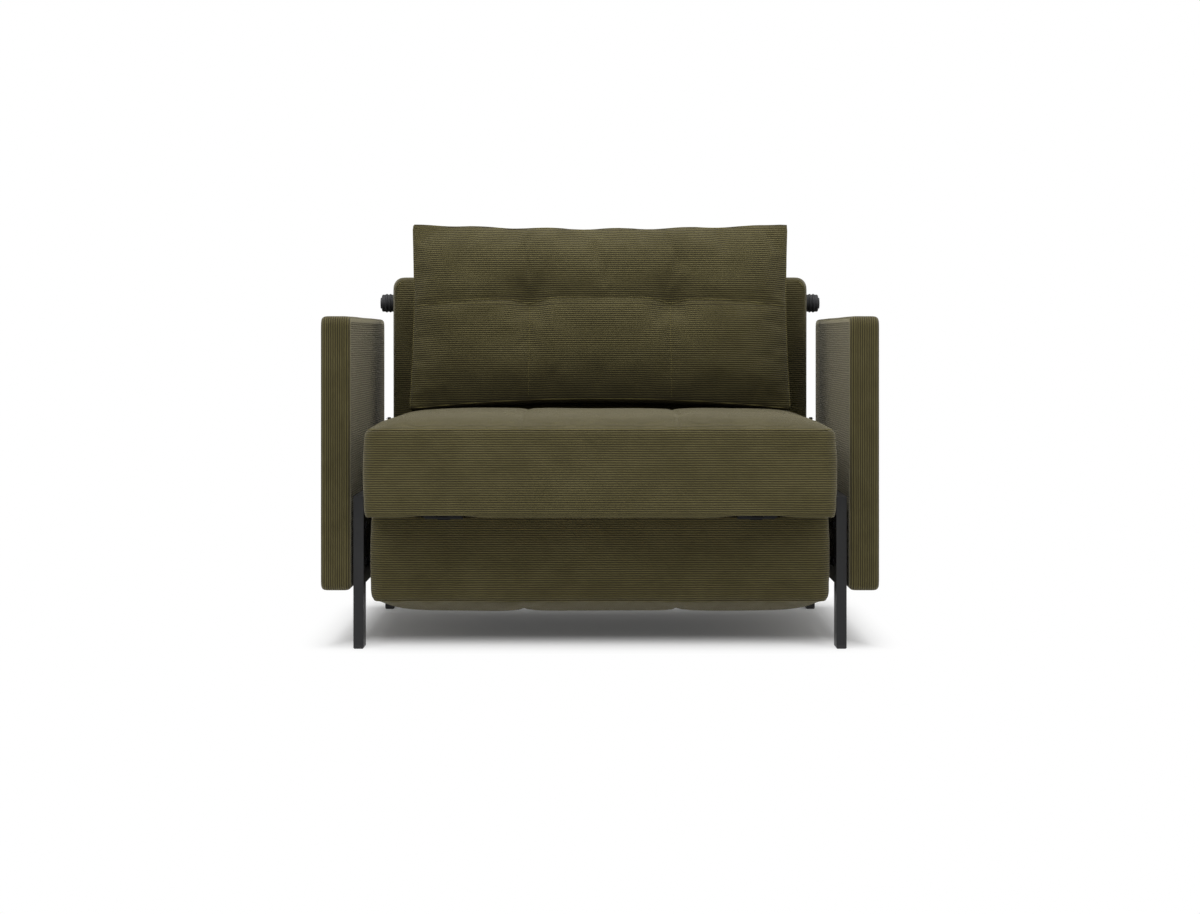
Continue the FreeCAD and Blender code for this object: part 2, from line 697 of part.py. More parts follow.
def build():
    """Every node by name, in the place it has when the chair is a chair."""
    nodes = {}
    foot_y = -bed_crease - foot_length
    cross_y = foot_y + foot_leg_inset + foot_cross_gap

    nodes["leg_glides"] = glides()
    nodes["rear_cross_tubes"] = rear_cross_tubes()
    pad, board, bolts, spacers = arm()
    right_hand = {
        "side_frame": side_frame(),
        "arm_pad": pad,
        "arm_board": board,
        "arm_bolts": bolts,
        "arm_spacers": spacers,
        "slide_outer": slide_outer(),
        "slide_inner": slide_inner(),
        "carriage_plate": carriage_plate(),
        "roller": roller(),
    }
    for name, shape in right_hand.items():
        nodes[f"{name}_right"] = shape
        nodes[f"{name}_left"] = mirrored(shape)

    nodes["carriage_tube"] = hollow_box(-plate_x, plate_x, carriage_tube_y, carriage_tube_y + carriage_tube,
                                        carriage_tube_z, carriage_tube_z + carriage_tube_height, leg_wall, "x")
    nodes["seat_lift_pins"], nodes["back_pivot_pins"], nodes["back_ratchet_hubs"] = pivot_pins()

    nodes["seat_mattress"] = mattress(0.0, seat_length)
    nodes["seat_rails"] = deck_rails(0.0, seat_length)
    nodes["seat_skirt"] = deck_skirt(0.0, seat_length)
    nodes["seat_slats"], nodes["seat_slat_caps"] = slats_and_caps(0.0, seat_length)
    nodes["seat_lift_arms"] = lift_arms()
    seat_side, foot_side, pins = foot_hinges()
    nodes["seat_hinge_knuckles"] = seat_side
    nodes["foot_hinge_knuckles"] = foot_side
    nodes["foot_hinge_pins"] = pins

    nodes["foot_mattress"] = foot_to_rest(mattress(foot_y, foot_length))
    nodes["foot_rails"] = foot_to_rest(deck_rails(foot_y, foot_length, cross_y))
    nodes["foot_skirt"] = foot_to_rest(deck_skirt(foot_y, foot_length))
    slats, caps = slats_and_caps(foot_y, foot_length)
    nodes["foot_slats"], nodes["foot_slat_caps"] = foot_to_rest(slats), foot_to_rest(caps)
    nodes["foot_leg"], nodes["foot_leg_glides"], nodes["foot_leg_pins"] = foot_leg()

    nodes["back_mattress"] = back_mattress()
    nodes["back_rails"] = back_to_rest(deck_rails(*back_deck()))
    nodes["back_skirt"] = back_to_rest(deck_skirt(*back_deck()))
    slats, caps = slats_and_caps(*back_deck())
    nodes["back_slats"], nodes["back_slat_caps"] = back_to_rest(slats), back_to_rest(caps)
    nodes["back_arms"] = back_arms()
    nodes["roller_bar"], nodes["roller_bar_brackets"] = roller_bar()
    nodes["roller_bar_plugs"] = bar_plugs()
    nodes["loose_cushion"] = loose_cushion()
    return nodes


def main():
    os.makedirs("parts", exist_ok=True)
    for name, shape in build().items():
        shape.translate(V(0, -middle_y, 0))
        bounds = shape.BoundBox
        print(f"{name:22s} solids {len(shape.Solids):3d} valid {shape.isValid()} "
              f"y {bounds.YMin:8.1f} {bounds.YMax:8.1f} z {bounds.ZMin:7.1f} {bounds.ZMax:7.1f} "
              f"x {bounds.XMin:8.1f} {bounds.XMax:8.1f}")
        shape.exportStep(f"parts/{name}.step")


if __name__ == "__main__":
    main()
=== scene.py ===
import json
import math

import bpy
import numpy as np
from mathutils import Matrix, Vector, noise
from mathutils.bvhtree import BVHTree


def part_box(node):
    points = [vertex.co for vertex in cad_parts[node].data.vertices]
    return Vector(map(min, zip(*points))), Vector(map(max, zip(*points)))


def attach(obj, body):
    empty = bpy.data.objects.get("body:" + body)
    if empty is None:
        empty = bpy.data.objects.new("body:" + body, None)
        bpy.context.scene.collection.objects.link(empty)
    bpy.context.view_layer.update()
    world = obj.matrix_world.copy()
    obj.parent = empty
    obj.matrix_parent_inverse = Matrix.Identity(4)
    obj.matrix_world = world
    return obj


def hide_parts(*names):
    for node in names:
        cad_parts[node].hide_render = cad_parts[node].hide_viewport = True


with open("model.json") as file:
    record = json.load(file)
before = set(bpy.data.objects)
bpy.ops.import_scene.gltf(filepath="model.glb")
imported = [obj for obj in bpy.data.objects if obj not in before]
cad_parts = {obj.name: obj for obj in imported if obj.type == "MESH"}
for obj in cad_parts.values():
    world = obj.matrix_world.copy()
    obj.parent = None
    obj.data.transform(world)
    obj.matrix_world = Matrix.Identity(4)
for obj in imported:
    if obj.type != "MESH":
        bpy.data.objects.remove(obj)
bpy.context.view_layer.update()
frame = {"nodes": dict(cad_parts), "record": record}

bl_info = {
    "name": "Corduroy chair bed",
    "version": (1, 0, 0),
    "blender": (4, 5, 0),
    "location": "View3D > Sidebar > Chair bed",
    "description": "Dresses the chair bed's steel frame with its corduroy sections, arms "
                   "and loose cushion",
    "category": "Object",
}

MM = 0.001


# Sizes and colours

class ChairBedCloth(bpy.types.PropertyGroup):
    """The corduroy: its ribs and its three shades."""

    wale_pitch: bpy.props.FloatProperty(
        name="Wale pitch", description="Distance from one rib to the next", default=4.4 * MM,
        unit="LENGTH")
    rib_colour: bpy.props.FloatVectorProperty(
        name="Rib", description="Colour of the pile on top of a rib",
        default=(0.082, 0.070, 0.0235), subtype="COLOR")
    # The groove colour is the ground cloth's own colour, made darker still as painted shade in the
    # grooves between ribs.
    groove_cloth_and_shade_colour: bpy.props.FloatVectorProperty(
        name="Groove", description="Colour of the ground cloth between ribs",
        default=(0.013, 0.010, 0.005), subtype="COLOR")
    worn_colour: bpy.props.FloatVectorProperty(
        name="Brushed pile", description="Colour where the pile lies over",
        default=(0.098, 0.085, 0.035), subtype="COLOR")


class ChairBedShape(bpy.types.PropertyGroup):
    """The sizes of the soft pieces that the frame doesn't give."""

    crown: bpy.props.FloatProperty(
        name="Section crown", description="How far a mattress section rises over its border seam",
        default=28 * MM, unit="LENGTH")
    crown_reach: bpy.props.FloatProperty(
        name="Crown reach", description="How soon the crown rises behind the seam",
        default=36 * MM, unit="LENGTH")
    corner_radius: bpy.props.FloatProperty(
        name="Section corners", description="Radius of a section's corners, seen from above",
        default=24 * MM, unit="LENGTH")
    hinge_place: bpy.props.FloatProperty(
        name="Hinge place", description="From the middle to each of the foot section's hinges",
        default=300 * MM, unit="LENGTH")
    tuft_spacing: bpy.props.FloatProperty(
        name="Tuft spacing", description="Distance between the two sewn lines",
        default=300 * MM, unit="LENGTH")
    tuft_depth: bpy.props.FloatProperty(
        name="Tuft depth", description="How deep a tuft pulls the cushion in",
        default=27 * MM, unit="LENGTH")
    cushion_lean: bpy.props.FloatProperty(
        name="Cushion lean", description="How far the loose cushion leans back",
        default=math.radians(8), subtype="ANGLE")
    back_recline: bpy.props.FloatProperty(
        name="Back recline", description="How far the upright back leans",
        default=math.radians(4), subtype="ANGLE")


class ChairBedStage(bpy.types.PropertyGroup):
    """The camera's place and the light's strength."""

    camera_height: bpy.props.FloatProperty(
        name="Camera height", description="Height of the lens over the floor", default=0.605,
        unit="LENGTH")
    camera_distance: bpy.props.FloatProperty(
        name="Camera distance", description="From the lens to the front of the seat", default=4.75,
        unit="LENGTH")
    lens: bpy.props.FloatProperty(
        name="Lens", description="Focal length on a 36 mm frame, in millimetres", default=75.2)
    key_power: bpy.props.FloatProperty(
        name="Key light", description="Power of the large lamp in front", default=74.0,
        unit="POWER")
    sky: bpy.props.FloatProperty(
        name="Room light", description="Strength of the light from all round", default=0.46)
    shadow_reach: bpy.props.FloatProperty(
        name="Shadow reach", description="How far out the floor keeps its full shadow",
        default=0.46, unit="LENGTH")


def cloth():
    return bpy.context.scene.chair_bed_cloth


def shape():
    return bpy.context.scene.chair_bed_shape


def setup():
    return bpy.context.scene.chair_bed_stage


# Shader values and finishes

class Value:
    """One value of a finish. Sums on it add the Math nodes that work them out."""

    def __init__(self, finish, socket):
        self.finish = finish
        self.socket = socket

    def math(self, operation, *values):
        sockets = dict(enumerate(values))
        return self.finish.node("ShaderNodeMath", {"operation": operation}, sockets)

    def __add__(self, other):
        return self.math("ADD", self, other)

    def __sub__(self, other):
        return self.math("SUBTRACT", self, other)

    def __rsub__(self, other):
        return self.math("SUBTRACT", other, self)

    def __mul__(self, other):
        return self.math("MULTIPLY", self, other)

    def __truediv__(self, other):
        return self.math("DIVIDE", self, other)

    def __pow__(self, other):
        return self.math("POWER", self, other)

    __radd__ = __add__
    __rmul__ = __mul__

    def cosine(self):
        return self.math("COSINE", self)

    def floor(self):
        return self.math("FLOOR", self)

    def absolute(self):
        return self.math("ABSOLUTE", self)

    def larger(self, other):
        return self.math("MAXIMUM", self, other)

    def clamp(self):
        return self.math("MINIMUM", self.larger(0.0), 1.0)

    def over(self, start, slope):
        """0 up to the start, and from there up to 1."""
        return ((self - start) * slope).clamp()

    def under(self, start, slope):
        """0 down to the start, and below it up to 1."""
        return ((start - self) * slope).clamp()


class Finish:
    """A material with one Principled shader, built up node by node."""

    def __init__(self, name, **fixed):
        self.material = bpy.data.materials.new(name)
        self.material.use_nodes = True
        self.tree = self.material.node_tree
        self.shader = self.tree.nodes["Principled BSDF"]
        for socket, value in fixed.items():
            self.shader.inputs[socket.replace("_", " ")].default_value = value

    def node(self, kind, settings, sockets, output=0):
        """One of a new node's outputs, with its settings and what its inputs hold or are fed."""
        made = self.tree.nodes.new(kind)
        for name, value in settings.items():
            setattr(made, name, value)
        for name, value in sockets.items():
            if isinstance(value, Value):
                self.tree.links.new(value.socket, made.inputs[name])
            else:
                made.inputs[name].default_value = value
        return Value(self, made.outputs[output])

    def attribute(self, name):
        return self.node("ShaderNodeAttribute", {"attribute_name": name}, {}, "Fac")

    def place(self):
        return self.node("ShaderNodeTexCoord", {}, {}, "Object")

    def stretched(self, x, y, z):
        """The place on the piece, with its own scale along each axis."""
        return self.node(
            "ShaderNodeVectorMath", {"operation": "MULTIPLY"}, {0: self.place(), 1: (x, y, z)})

    def noise(self, vector, scale, detail, roughness=0.5):
        return self.node("ShaderNodeTexNoise", {}, {
            "Vector": vector, "Scale": scale, "Detail": detail, "Roughness": roughness})

    def woven(self, along, across, detail, roughness=0.5, layer=0.0):
        """Noise laid out along and across the ribs."""
        vector = self.node("ShaderNodeCombineXYZ", {}, {0: along, 1: across, 2: layer})
        return self.noise(vector, 1.0, detail, roughness)

    def mix(self, share, first, second, how="MIX"):
        def filled(colour):
            return colour if isinstance(colour, Value) else (*colour, 1.0)
        settings = {"data_type": "RGBA", "blend_type": how, "clamp_factor": True}
        sockets = {0: share, 6: filled(first), 7: filled(second)}
        return self.node("ShaderNodeMix", settings, sockets, 2)

    def feed(self, socket, value):
        self.tree.links.new(value.socket, self.shader.inputs[socket])

    def bump(self, height, depth, strength):
        self.feed("Normal", self.node("ShaderNodeBump", {}, {
            "Height": height, "Distance": depth, "Strength": strength}))


def shaded(colour, share, lift=0.0):
    """A darker or paler kind of a colour."""
    return tuple(share * v + lift for v in colour)


def corduroy(name, shade=1.0, sheen=0.24):
    """Ribbed cotton: the pile catches the light, and each rib differs a little from the next.

    Its noise is given per metre, along a rib and across the ribs.
    """
    c = cloth()
    stray = 0.35 * c.wale_pitch
    pile_height = 1.1 * MM
    rib_colour = shaded(c.rib_colour, shade)
    low_pile = shaded(rib_colour, 0.60)
    groove_cloth_and_shade_colour = shaded(c.groove_cloth_and_shade_colour, shade)
    worn_colour = shaded(c.worn_colour, shade)
    finish = Finish(name, Roughness=0.9, Sheen_Weight=sheen, Sheen_Roughness=0.5,
                    Sheen_Tint=(0.90, 0.84, 0.66, 1.0), Specular_IOR_Level=0.12)
    across = finish.attribute("across")
    along = finish.attribute("along")
    sewn = finish.attribute("sewn")
    wander = finish.woven(along * 7.0, across * 15.0, 2.0)
    phase = (across + (wander - 0.5) * stray) / c.wale_pitch
    rib = (phase * math.tau).cosine() * 0.5 + 0.5
    number = (phase + 0.5).floor()
    streak = finish.woven(along * 44.0, number * 3.71, 2.0, 0.6)
    drift = finish.woven(along * 11.0, across * 13.0, 5.0, 0.62, layer=4.0)
    fuzz = finish.woven(along * 700.0, across * 1300.0, 2.0, 0.6)
    pile = finish.mix(streak.over(0.30, 2.2) * 0.5 + 0.5, low_pile, rib_colour)
    pile = finish.mix(drift.over(0.40, 3.2) * 0.6, pile, worn_colour)
    pile = finish.mix(drift.under(0.56, 3.2) * 0.45, pile, low_pile)
    # Painted shade, in part: between the ribs the cloth turns to the groove colour, the ground
    # cloth darkened for the shade in the grooves.
    ground = finish.mix((rib * 1.1).clamp(), groove_cloth_and_shade_colour, pile)
    # Painted shade: the cloth darkens towards the groove colour along the sewn lines, tufts and
    # held edges, where the seams pull in.
    ground = finish.mix(sewn ** 9.0 * 0.35, ground, groove_cloth_and_shade_colour)
    finish.feed("Base Color", finish.mix(fuzz * 0.5, ground, (0.5, 0.5, 0.5), "OVERLAY"))
    finish.bump(rib ** 0.6 + fuzz * 0.3, pile_height, 0.8)
    return finish.material


def powder_coat(name, colour, grain=900.0, roughness=0.46, shine=0.3):
    """Baked powder paint, finely pebbled and a little paler where it is rubbed."""
    finish = Finish(name, Specular_IOR_Level=shine)
    pebbles = finish.noise(finish.place(), grain, 2.0)
    cloud = finish.noise(finish.place(), 9.0, 4.0, 0.6)
    pale = shaded(colour, 1.55, 0.006)
    finish.feed("Base Color", finish.mix(cloud.over(0.42, 1.6), colour, pale))
    finish.feed("Roughness", roughness + (cloud - 0.5) * 0.16 + (pebbles - 0.5) * 0.1)
    finish.bump(pebbles, 0.12 * MM, 0.5)
    return finish.material


def zinc_plate(name):
    """Bright zinc plating, faintly mottled and drawn along its length."""
    finish = Finish(name, Metallic=1.0)
    mottle = finish.noise(finish.place(), 160.0, 4.0, 0.65)
    drawn = finish.noise(finish.stretched(14.0, 700.0, 700.0), 1.0, 2.0)
    finish.feed("Base Color", finish.mix(mottle, (0.46, 0.47, 0.48), (0.66, 0.66, 0.64)))
    finish.feed("Roughness", 0.3 + mottle * 0.16 + (drawn - 0.5) * 0.12)
    finish.bump(drawn, 0.05 * MM, 0.35)
    return finish.material


def moulded(name, colour, roughness=0.55, grain=1400.0):
    """Black moulded plastic or rubber with a fine spark-eroded grain."""
    finish = Finish(name, Specular_IOR_Level=0.4)
    spark = finish.noise(finish.place(), grain, 2.0)
    bloom = finish.noise(finish.place(), 26.0, 4.0, 0.6)
    pale = shaded(colour, 1.8, 0.008)
    finish.feed("Base Color", finish.mix(bloom.over(0.45, 1.8) * 0.7, colour, pale))
    finish.feed("Roughness", roughness + (bloom - 0.5) * 0.2)
    finish.bump(spark, 0.08 * MM, 0.5)
    return finish.material


def bent_beech(name, dark, light, across_grain=260.0):
    """Rotary-cut beech: long grain along X, with short darker flecks."""
    finish = Finish(name, Coat_Weight=0.12, Coat_Roughness=0.35)
    grain = finish.noise(finish.stretched(5.0, across_grain, across_grain), 1.0, 5.0, 0.62)
    bands = finish.noise(finish.stretched(1.3, 34.0, 34.0), 1.0, 3.0)
    flecks = finish.noise(finish.stretched(70.0, 900.0, 900.0), 1.0, 2.0)
    wood = finish.mix((grain * 0.6 + bands * 0.5).over(0.25, 1.7), dark, light)
    finish.feed("Base Color", finish.mix(flecks.over(0.62, 4.0) * 0.5, wood, shaded(dark, 0.6)))
    finish.feed("Roughness", 0.42 + grain * 0.18)
    finish.bump(grain * 0.7 + flecks * 0.3, 0.15 * MM, 0.4)
    return finish.material


BLACK = (0.005, 0.005, 0.0055)
CHARCOAL = (0.0065, 0.0067, 0.0072)
RUBBER = (0.008, 0.008, 0.009)
BEECH = ((0.42, 0.25, 0.12), (0.66, 0.45, 0.26))
PLYWOOD = ((0.40, 0.26, 0.14), (0.60, 0.43, 0.27))
MAKERS = {
    "cloth": lambda: corduroy("olive_corduroy"),
    # The cords' cloth is the corduroy made 1.6 times paler with less sheen: a painted highlight on
    # the raised seam cords.
    "edge_cloth": lambda: corduroy("olive_corduroy_edge", 1.6, 0.10),
    "leg_paint": lambda: powder_coat("charcoal_powder_coat", CHARCOAL),
    "deck_paint": lambda: powder_coat("black_deck_paint", BLACK, 700.0, 0.7, 0.12),
    "zinc": lambda: zinc_plate("zinc_plating"),
    "plastic": lambda: moulded("black_plastic", BLACK),
    "rubber": lambda: moulded("black_rubber", RUBBER, 0.7, 1800.0),
    "beech": lambda: bent_beech("lacquered_beech", *BEECH),
    "board": lambda: bent_beech("raw_plywood", *PLYWOOD, 180.0),
}
SLOT_FINISHES = {
    "frame_steel": "leg_paint", "black_steel": "deck_paint", "zinc_steel": "zinc",
    "black_rubber": "rubber", "black_plastic": "plastic", "beech": "beech",
    "plywood": "board", "corduroy": "cloth",
}
FINISHES = {}


def finish_of(name):
    """Each finish is made once."""
    if name not in FINISHES:
        FINISHES[name] = MAKERS[name]()
    return FINISHES[name]


# Forms

# For each pair of a box's sides: the axis they face, the two axes along them and their names.
FACINGS = ((2, 0, 1, ("under", "top")), (1, 0, 2, ("front", "rear")), (0, 1, 2, ("left", "right")))

# For each side of a piece: the axis that its ribs lie along, and the axis across them.
SECTION_RIBS = {
    "under": (0, 1), "top": (0, 1), "front": (0, 2), "rear": (0, 2),
    "left": (1, 2), "right": (1, 2),
}
ARM_RIBS = {
    "under": (1, 0), "top": (1, 0), "front": (2, 0), "rear": (2, 0),
    "left": (1, 2), "right": (1, 2),
}
CUSHION_RIBS = {
    "under": (0, 1), "top": (0, 1), "front": (0, 2), "rear": (0, 2),
    "left": (2, 1), "right": (2, 1),
}

SECTION_PITCH = 11 * MM
# How far a section's cover reaches in and up at each ring of its underside, in millimetres.
LIP = ((2.4, 0.0), (3.2, 0.3), (8.3, 0.3), (9.0, 30.3), (14.0, 30.3))

SWELL_FRAMES = 18
SWELL_CLOTH = {
    "vertex_group_mass": "held", "quality": 5, "mass": 0.35, "tension_stiffness": 12,
    "compression_stiffness": 12, "shear_stiffness": 4, "bending_stiffness": 0.4,
    "use_pressure": True, "shrink_min": -0.012,
}


def lattice(xs, ys, zs):
    """A box's skin: its points by their place along each edge, its quads and each quad's side."""
    counts = [len(places) - 1 for places in (xs, ys, zs)]
    index, quads, sides = {}, [], []
    for facing, u, v, names in FACINGS:
        for end, side in zip((0, counts[facing]), names):
            outward = (end > 0) != (facing == 1)
            for a in range(counts[u]):
                for b in range(counts[v]):
                    ring = []
                    for step_a, step_b in ((0, 0), (1, 0), (1, 1), (0, 1)):
                        key = [0, 0, 0]
                        key[facing], key[u], key[v] = end, a + step_a, b + step_b
                        ring.append(index.setdefault(tuple(key), len(index)))
                    quads.append(ring if outward else ring[::-1])
                    sides.append(side)
    return list(index), quads, sides


def steps(low, high, pitch, lines=()):
    """Even steps between two ends, with closer ones at the given lines."""
    tight, slack = 3 * MM, 0.01 * MM
    count = max(1, round((high - low) / pitch))
    places = {round(low + (high - low) * i / count, 6) for i in range(count + 1)}
    for line in lines:
        near = {round(line + tight * n, 6) for n in (-4, -2, -1, 0, 1, 2, 4)}
        places = {p for p in places if abs(p - line) > 5 * tight or p in (low, high)} | near
    return sorted(p for p in places if low - slack <= p <= high + slack)


def rounded(x, y, half_x, half_y, radius):
    """A point of a rectangle moved into the same rectangle with round corners."""
    p = (abs(x) - half_x + radius) / radius
    q = (abs(y) - half_y + radius) / radius
    if p <= 0 or q <= 0:
        return x, y
    p, q = min(p, 1.0), min(q, 1.0)
    round_p = p * math.sqrt(1 - q * q / 2)
    round_q = q * math.sqrt(1 - p * p / 2)
    return (math.copysign(half_x - radius + radius * round_p, x),
            math.copysign(half_y - radius + radius * round_q, y))


def rise(distance, reach):
    """How far a crown has risen at a distance from its seam, from 0 to 1."""
    return 1 - math.exp(-max(0.0, distance) / reach)


def bell(distance, width):
    """1 on a line, falling to 0 beside it."""
    return math.exp(-(distance / width) ** 2)


def ripple(point, size, depth, seed):
    """A small unevenness of the stuffing."""
    return depth * noise.noise(Vector(point) / size + Vector((seed, 3.1 * seed, 7.7)))


def corner_values(mesh, label, values):
    """A value for each corner of each face, for the finishes to read."""
    mesh.attributes.new(label, "FLOAT", "CORNER").data.foreach_set("value", values)


def coordinates(mesh):
    """A mesh's points, one on each row."""
    flat = np.zeros(len(mesh.vertices) * 3)
    mesh.vertices.foreach_get("co", flat)
    return flat.reshape(-1, 3)


def new_object(name, data):
    made = bpy.data.objects.new(name, data)
    bpy.context.scene.collection.objects.link(made)
    return made


def make_piece(name, points, quads, sides, ribs, placed=None, held=None):
    """A cover with its places along and across the ribs, and how firmly each spot is sewn."""
    mesh = bpy.data.meshes.new(name)
    mesh.from_pydata([Vector(p) for p in points], [], quads)
    corners = [(points[corner], ribs[side]) for quad, side in zip(quads, sides) for corner in quad]
    corner_values(mesh, "along", [point[axes[0]] for point, axes in corners])
    corner_values(mesh, "across", [point[axes[1]] for point, axes in corners])
    if held is not None:
        # The sewn map also says where the corduroy paints shade along the seams.
        corner_values(mesh, "sewn", [held[corner] for quad in quads for corner in quad])
    if placed is not None:
        mesh.transform(placed)
    mesh.shade_smooth()
    mesh.materials.append(finish_of("cloth"))
    return new_object(name, mesh)


def inflate(piece, held, cap, pressure, wide=None):
    """Lets the cover swell and pucker between its held seams, then keeps that shape.

    No point moves further than cap, and none goes past wide to the side.
    """
    mesh = piece.data
    rest = coordinates(mesh)
    group = piece.vertex_groups.new(name="held")
    shares = [round(h, 1) for h in held]
    for share in sorted(set(shares) - {0.0}):
        group.add([i for i, own in enumerate(shares) if own == share], share, "REPLACE")
    fabric = piece.modifiers.new("cover", "CLOTH")
    for setting, value in SWELL_CLOTH.items():
        setattr(fabric.settings, setting, value)
    fabric.settings.uniform_pressure_force = pressure
    fabric.settings.effector_weights.gravity = 0
    fabric.collision_settings.use_collision = False
    fabric.point_cache.frame_start = 1
    fabric.point_cache.frame_end = SWELL_FRAMES
    scene = bpy.context.scene
    for step in range(1, SWELL_FRAMES + 1):
        scene.frame_set(step)
    swollen = piece.evaluated_get(bpy.context.evaluated_depsgraph_get()).data
    shift = coordinates(swollen) - rest
    length = np.linalg.norm(shift, axis=1, keepdims=True)
    shift *= cap * np.tanh(length / cap) / np.maximum(length, 1e-9)
    if wide is not None:
        most = np.maximum(np.abs(rest[:, 0]), wide)
        shift[:, 0] = np.clip(rest[:, 0] + shift[:, 0], -most, most) - rest[:, 0]
    piece.modifiers.remove(fabric)
    piece.vertex_groups.remove(group)
    mesh.vertices.foreach_set("co", (rest + shift).ravel())
    mesh.update()
    scene.frame_set(1)


def smooth_once(piece):
    """One level of subdivision on the finished cover."""
    smooth = piece.modifiers.new("smooth", "SUBSURF")
    smooth.levels = smooth.render_levels = 1


def crown_height(edge_x, edge_y, from_lines):
    """A section's crown over its seam, by how far off its edges and its sewn lines are."""
    s = shape()
    height = s.crown * rise(edge_x, s.crown_reach) * rise(edge_y, s.crown_reach)
    for off in from_lines:
        stitched = 1.3 * MM * bell(off, 4 * MM)
        drawn = 1.2 * MM * bell(off, 32 * MM)
        height -= rise(edge_y, 25 * MM) * (stitched + drawn)
    return height


def nose_limit(z, nose):
    """The lowest y at a height for a section whose near end is rounded about (y, z, radius)."""
    return nose[0] - math.sqrt(max(nose[2] ** 2 - (z - nose[1]) ** 2, 0.0))


def section(name, low, high, nose=None, seed=0.0, placed=None, swell=(1.0, 1.0), ends=(1.0, 1.0),
            taper=0.2, drop=3.5 * MM):
    """A mattress section lying flat: border, crowned top with two sewn lines, lip round its deck.

    low and high are the corners of the section with its border, lip and deck, without the crown.
    nose is the (y, z, radius) that its near end is rounded about.
    swell is how far its sides stand out at the near and the far end, in millimetres, and taper
    is how far from each end that goes. ends is how far those two ends stand out themselves.
    drop is how far the cover hangs below the deck, clear of the hinges.
    """
    s = shape()
    seam_width, hinge_clear, hem = 2 * MM, 40 * MM, 20 * MM
    least_radius, end_band = 6 * MM, 6 * MM
    middle_x, middle_y = (low[0] + high[0]) / 2, (low[1] + high[1]) / 2
    half_x, half_y = (high[0] - low[0]) / 2, (high[1] - low[1]) / 2
    seam_z, floor_z = high[2], low[2]
    lines = (-s.tuft_spacing / 2, s.tuft_spacing / 2)
    xs = steps(-half_x, half_x, SECTION_PITCH, lines)
    ys = steps(-half_y, half_y, SECTION_PITCH)
    zs = steps(floor_z, seam_z, SECTION_PITCH)
    keys, quads, sides = lattice(xs, ys, zs)
    nx, ny, nz = len(xs) - 1, len(ys) - 1, len(zs) - 1
    points, held = [], []
    for i, j, k in keys:
        x, y, z = xs[i], ys[j], zs[k]
        up = (z - floor_z) / (seam_z - floor_z)
        fixed = 1.0 if k == 0 else 0.0
        near = max(0.0, 1 - (half_y + y) / taper)
        far = max(0.0, 1 - (half_y - y) / taper)
        full = max(0.0, math.sin(math.pi * up)) ** 0.5 * MM
        inset = 1.0 * MM + 1.6 * MM * up ** 6 + 1.5 * MM * (1 - up) ** 4
        inset_x = inset - full * (swell[0] * near + swell[1] * far)
        inset_y = inset - full * (ends[0] if y < 0 else ends[1])
        if k == 0:
            ring = min(i, nx - i, j, ny - j)
            inward, raised = LIP[min(ring, len(LIP) - 1)]
            inset_x = inset_y = inward * MM
            z = floor_z + raised * MM
            if ring < len(LIP) - 1:
                x = math.copysign(half_x, x) if ring in (i, nx - i) else x
                y = math.copysign(half_y, y) if ring in (j, ny - j) else y
        x *= (half_x - inset_x) / half_x
        y *= (half_y - inset_y) / half_y
        edge_x, edge_y = half_x - inset_x - abs(x), half_y - inset_y - abs(y)
        radius = max(least_radius, s.corner_radius - inset - 8 * MM * (1 - up) ** 2)
        x, y = rounded(x, y, half_x - inset_x, half_y - inset_y, radius)
        if z < floor_z + hem:
            clear = (abs(abs(x) - s.hinge_place) - hinge_clear) / hinge_clear
            z -= drop * (1 - up) ** 3 * min(1.0, max(0.0, clear))
        if k == nz:
            from_lines = [abs(x - line) for line in lines]
            uneven = 1.6 * MM * rise(edge_x, 0.03) * rise(edge_y, 0.03)
            z += crown_height(edge_x, edge_y, from_lines) + ripple((x, y, 0), 0.11, uneven, seed)
            sewn = 0.9 * max(bell(off, 5 * MM) for off in from_lines)
            fixed = 1.0 if min(edge_x, edge_y) < seam_width else sewn
        elif k > 0 and abs(y) > half_y - end_band:
            uneven = ripple((x, y, z), 0.13, 1.1 * MM * math.sin(math.pi * up), seed)
            y += math.copysign(min(uneven, 0.9 * MM), y)
        if nose is not None:
            y = max(y, nose_limit(z, nose) - middle_y)
        points.append((x + middle_x, y + middle_y, z))
        held.append(fixed)
    return make_piece(name, points, quads, sides, SECTION_RIBS, placed, held), held


def skin_of(piece):
    """The finished skin of a piece, to find places on it."""
    return BVHTree.FromObject(piece, bpy.context.evaluated_depsgraph_get())


def corded_edge(name, path, radius, skin, placed=None, closed=True):
    """A thin cord of cloth along a seam, laid on a piece's skin."""
    placed = placed or Matrix.Identity(4)
    path = [placed.inverted() @ skin.find_nearest(placed @ Vector(p))[0] for p in path]
    curve = bpy.data.curves.new(name, "CURVE")
    curve.dimensions = "3D"
    curve.bevel_depth = radius
    curve.bevel_resolution = 2
    line = curve.splines.new("POLY")
    line.points.add(len(path) - 1)
    for point, place in zip(line.points, path):
        point.co = (*place, 1.0)
    line.use_cyclic_u = closed
    scratch = bpy.data.objects.new(name, curve)
    mesh = bpy.data.meshes.new_from_object(scratch)
    bpy.data.objects.remove(scratch)
    bpy.data.curves.remove(curve)
    mesh.name = name
    spots = np.zeros(len(mesh.loops), dtype=int)
    mesh.loops.foreach_get("vertex_index", spots)
    corners = coordinates(mesh)[spots]
    corner_values(mesh, "along", corners.sum(axis=1))
    corner_values(mesh, "across", corners[:, 2])
    mesh.transform(placed)
    mesh.shade_smooth()
    mesh.materials.clear()
    # The paler cord cloth paints a highlight along the raised seam.
    mesh.materials.append(finish_of("edge_cloth"))
    return new_object(name, mesh)


